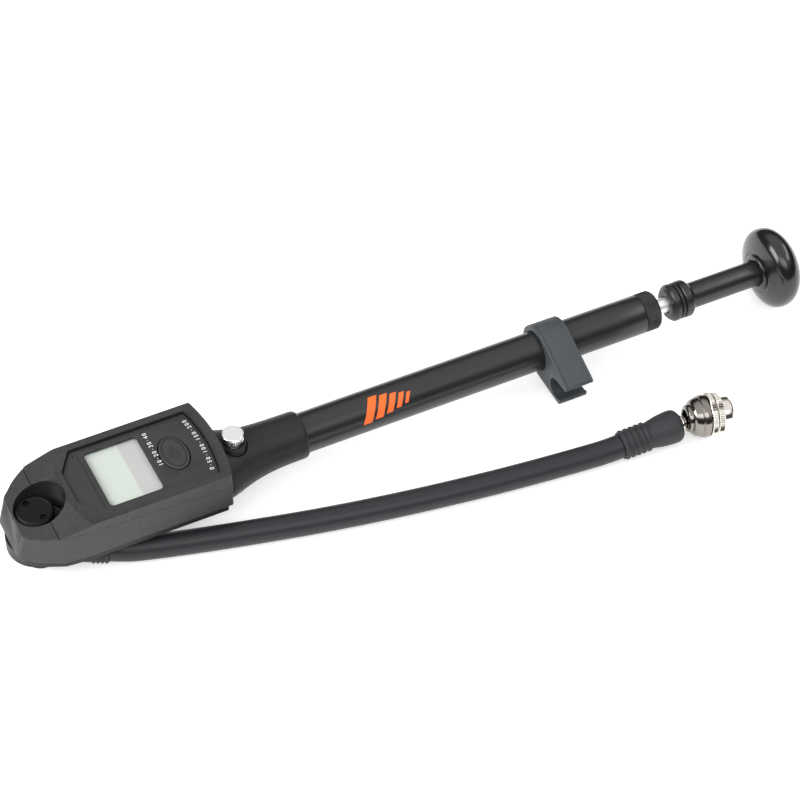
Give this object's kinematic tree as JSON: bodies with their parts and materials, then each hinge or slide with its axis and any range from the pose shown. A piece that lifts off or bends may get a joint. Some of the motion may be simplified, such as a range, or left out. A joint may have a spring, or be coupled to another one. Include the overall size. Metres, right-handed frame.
{
  "type": "shock suspension pump",
  "caption": "Slim hand pump with a digital gauge head, bleed button, mushroom-knob plunger, hose clip and a swivelling hose with a screw-on valve chuck.",
  "frame": {"origin": "middle of the underside of the pump's own box, hose left out", "axes": "+X along the barrel from gauge head to knob, +Z out of the gauge's face, +Y across the head"},
  "size_m": [0.3192, 0.078, 0.0316],
  "materials": {
    "casing": "fine-grained charcoal moulding",
    "facia": "satin dark facia",
    "glass": "clear display window",
    "display": "pale grey-green liquid crystal display",
    "board": "green solder resist",
    "steel": "machined steel",
    "chrome": "polished",
    "nickel": "warm nickel plate",
    "brass": "turned brass",
    "anodised": "black anodised, satin",
    "casting": "black coated casting",
    "gloss": "glossy black",
    "rubber": "black rubber",
    "clip_rubber": "blue-grey rubber",
    "nylon": "natural nylon"
  },
  "bodies": {
    "pump_body": {"barrel_tube": "anodised", "end_cap": "anodised", "rod_bushing": "nylon", "rod_wiper": "rubber", "barrel_seal": "rubber", "check_valve_seat": "brass", "check_valve_ball": "steel", "check_valve_spring": "steel", "pump_head": "casting", "housing_screw_1": "steel", "housing_screw_2": "steel", "housing_screw_3": "steel", "housing_screw_4": "steel", "gauge_housing": "casing", "gauge_cover": "casing", "facia_panel": "facia", "display_lens": "glass", "display_module": "display", "circuit_board": "board", "button_switch": "steel", "coin_battery": "steel", "battery_holder": "nylon", "pressure_sensor": "steel", "sensor_seal": "rubber", "bleed_boss": "casting", "bleed_spring": "steel", "swivel_bolt": "casting", "swivel_nut": "casting", "swivel_seal_upper": "rubber", "swivel_seal_lower": "rubber"},
    "plunger": {"piston_rod": "chrome", "piston": "nylon", "piston_seal": "rubber", "piston_nut": "steel", "handle_sleeve": "gloss", "bumper_ring": "rubber", "knob": "gloss"},
    "bleed_valve": {"bleed_button": "chrome", "bleed_seal": "rubber"},
    "power_key": {"power_button": "facia"},
    "clip": {"hose_clip": "clip_rubber"},
    "hose": {"hose_union": "casting", "head_boot": "rubber", "hose_tube": "rubber", "far_boot": "rubber", "far_ferrule": "nickel", "chuck_stem": "nickel"},
    "chuck": {"chuck_body": "nickel", "chuck_grip_rear": "nickel", "chuck_grip_front": "nickel", "chuck_nose": "nickel", "chuck_seal": "rubber", "valve_pin": "brass"}
  },
  "joints": [
    {"name": "plunger_slide", "type": "slide", "parent": "pump_body", "child": "plunger", "axis": [1, 0, 0], "range_m": [-0.0035, 0.13]},
    {"name": "bleed_press", "type": "slide", "parent": "pump_body", "child": "bleed_valve", "axis": [0, 0, -1], "range_m": [0, 0.0012], "stiffness_N_per_m": 900, "springref_m": -0.001, "deforming": ["bleed_spring"]},
    {"name": "power_press", "type": "slide", "parent": "pump_body", "child": "power_key", "axis": [0, 0, -1], "range_m": [0, 0.0004], "stiffness_N_per_m": 2500, "springref_m": -0.0002},
    {"name": "clip_slide", "type": "slide", "parent": "pump_body", "child": "clip", "axis": [1, 0, 0], "range_m": [-0.09, 0.031]},
    {"name": "hose_swivel", "type": "hinge", "parent": "pump_body", "child": "hose", "pos_m": [-0.14865, 0.00205, 0.0052], "axis": [0, 0, 1], "range_deg": [-318, 3.5]},
    {"name": "chuck_spin", "type": "hinge", "parent": "hose", "child": "chuck", "pos_m": [0.08899, -0.04755, 0.00839], "axis": [0.9777, -0.2078, -0.0297], "continuous": true}
  ]
}
